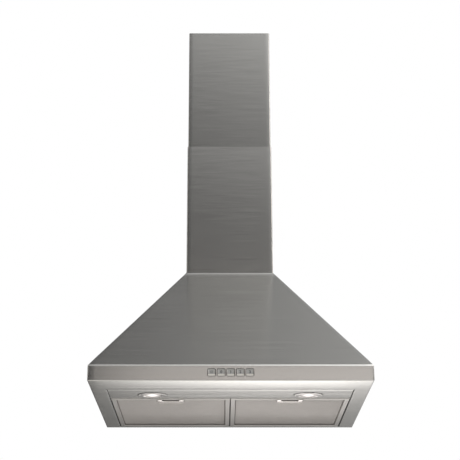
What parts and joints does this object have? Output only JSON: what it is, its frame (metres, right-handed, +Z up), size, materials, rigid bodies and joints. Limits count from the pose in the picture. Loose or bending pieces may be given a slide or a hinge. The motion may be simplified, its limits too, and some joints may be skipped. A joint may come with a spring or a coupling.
{
  "type": "chimney range hood",
  "caption": "Wall-mounted pyramid chimney hood: folded steel canopy on a low band, telescopic duct cover, push-buttons, round lamps, latched mesh grease filters, blower with non-return flaps.",
  "frame": {"origin": "on the wall plane, on the back panel's rear face, midway between the two hanging keyholes and level with them", "axes": "+Z up along the chimney, +Y into the wall, so the buttons face -Y; +X is to the right as seen from the cook"},
  "size_m": [0.6, 0.5016, 0.9789],
  "materials": {
    "brushed_steel": "brushed stainless steel, horizontal grain",
    "chimney_steel": "brushed stainless steel, horizontal grain",
    "galvanised": "galvanised steel sheet, dull",
    "aluminium": "mill-finish aluminium",
    "filter_mesh": "expanded aluminium mesh",
    "chrome": "bright plated ring",
    "lamp_glass": "frosted glass",
    "button_plastic": "silver-grey lacquered plastic",
    "dark_plastic": "moulded black plastic",
    "grey_plastic": "moulded grey plastic",
    "motor_steel": "zinc-grey motor can",
    "screw_steel": "zinc-plated steel"
  },
  "bodies": {
    "hood": {"apron_band": "brushed_steel", "canopy_shell": "brushed_steel", "back_panel": "galvanised", "lamp_panel": "brushed_steel", "switch_block": "dark_plastic", "lower_chimney": "chimney_steel", "outlet_plate": "galvanised", "outlet_collar": "dark_plastic", "flap_pin": "screw_steel", "blower_wrapper": "galvanised", "blower_casing_left": "galvanised", "blower_casing_right": "galvanised", "blower_motor": "motor_steel", "motor_spider": "galvanised", "terminal_box": "grey_plastic", "terminal_box_lid": "grey_plastic", "cable_gland": "dark_plastic", "motor_capacitor": "aluminium", "capacitor_clip": "galvanised", "lamp_driver": "dark_plastic", "lamp_bezel_left": "chrome", "lamp_glass_left": "lamp_glass", "lamp_cup_left": "galvanised", "lamp_bulb_left": "lamp_glass", "lamp_screw_left_1": "screw_steel", "lamp_screw_left_2": "screw_steel", "lamp_bezel_right": "chrome", "lamp_glass_right": "lamp_glass", "lamp_cup_right": "galvanised", "lamp_bulb_right": "lamp_glass", "lamp_screw_right_1": "screw_steel", "lamp_screw_right_2": "screw_steel"},
    "push_light": {"button_light": "button_plastic"},
    "push_stop": {"button_stop": "button_plastic"},
    "push_speed_1": {"button_speed_1": "button_plastic"},
    "push_speed_2": {"button_speed_2": "button_plastic"},
    "push_speed_3": {"button_speed_3": "button_plastic"},
    "filter_left": {"filter_frame_left": "aluminium", "filter_mesh_left": "filter_mesh", "latch_housing_left": "aluminium"},
    "latch_left": {"filter_latch_left": "aluminium"},
    "filter_right": {"filter_frame_right": "aluminium", "filter_mesh_right": "filter_mesh", "latch_housing_right": "aluminium"},
    "latch_right": {"filter_latch_right": "aluminium"},
    "upper_cover": {"upper_chimney": "chimney_steel", "wall_bracket": "galvanised", "chimney_screw_left": "screw_steel", "chimney_screw_right": "screw_steel"},
    "impeller": {"blower_wheel": "grey_plastic", "wheel_hub": "motor_steel", "motor_shaft": "screw_steel"},
    "left_flap": {"flap_left": "dark_plastic"},
    "right_flap": {"flap_right": "dark_plastic"}
  },
  "joints": [
    {"name": "press_light", "type": "slide", "parent": "hood", "child": "push_light", "axis": [0, 1, 0], "range_m": [0, 0.003], "stiffness_N_per_m": 400, "springref_m": -0.001},
    {"name": "press_stop", "type": "slide", "parent": "hood", "child": "push_stop", "axis": [0, 1, 0], "range_m": [0, 0.003], "stiffness_N_per_m": 400, "springref_m": -0.001},
    {"name": "press_speed_1", "type": "slide", "parent": "hood", "child": "push_speed_1", "axis": [0, 1, 0], "range_m": [0, 0.003], "stiffness_N_per_m": 400, "springref_m": -0.001},
    {"name": "press_speed_2", "type": "slide", "parent": "hood", "child": "push_speed_2", "axis": [0, 1, 0], "range_m": [0, 0.003], "stiffness_N_per_m": 400, "springref_m": -0.001},
    {"name": "press_speed_3", "type": "slide", "parent": "hood", "child": "push_speed_3", "axis": [0, 1, 0], "range_m": [0, 0.003], "stiffness_N_per_m": 400, "springref_m": -0.001},
    {"name": "filter_swing_left", "type": "hinge", "parent": "hood", "child": "filter_left", "pos_m": [0, -0.0142, -0.2487], "axis": [1, 0, 0], "range_deg": [0, 60]},
    {"name": "latch_pull_left", "type": "slide", "parent": "filter_left", "child": "latch_left", "axis": [0, 1, 0], "range_m": [0, 0.005], "stiffness_N_per_m": 500, "springref_m": -0.003},
    {"name": "filter_swing_right", "type": "hinge", "parent": "hood", "child": "filter_right", "pos_m": [0, -0.0142, -0.2487], "axis": [1, 0, 0], "range_deg": [0, 60]},
    {"name": "latch_pull_right", "type": "slide", "parent": "filter_right", "child": "latch_right", "axis": [0, 1, 0], "range_m": [0, 0.005], "stiffness_N_per_m": 500, "springref_m": -0.003},
    {"name": "chimney_slide", "type": "slide", "parent": "hood", "child": "upper_cover", "axis": [0, 0, 1], "range_m": [-0.24, 0.025]},
    {"name": "impeller_spin", "type": "hinge", "parent": "hood", "child": "impeller", "pos_m": [0, -0.17678, -0.085], "axis": [1, 0, 0], "continuous": true},
    {"name": "flap_swing_left", "type": "hinge", "parent": "hood", "child": "left_flap", "pos_m": [0, -0.1, 0.1016], "axis": [0, 1, 0], "range_deg": [0, 80]},
    {"name": "flap_swing_right", "type": "hinge", "parent": "hood", "child": "right_flap", "pos_m": [0, -0.1, 0.1016], "axis": [0, -1, 0], "range_deg": [0, 80]}
  ]
}
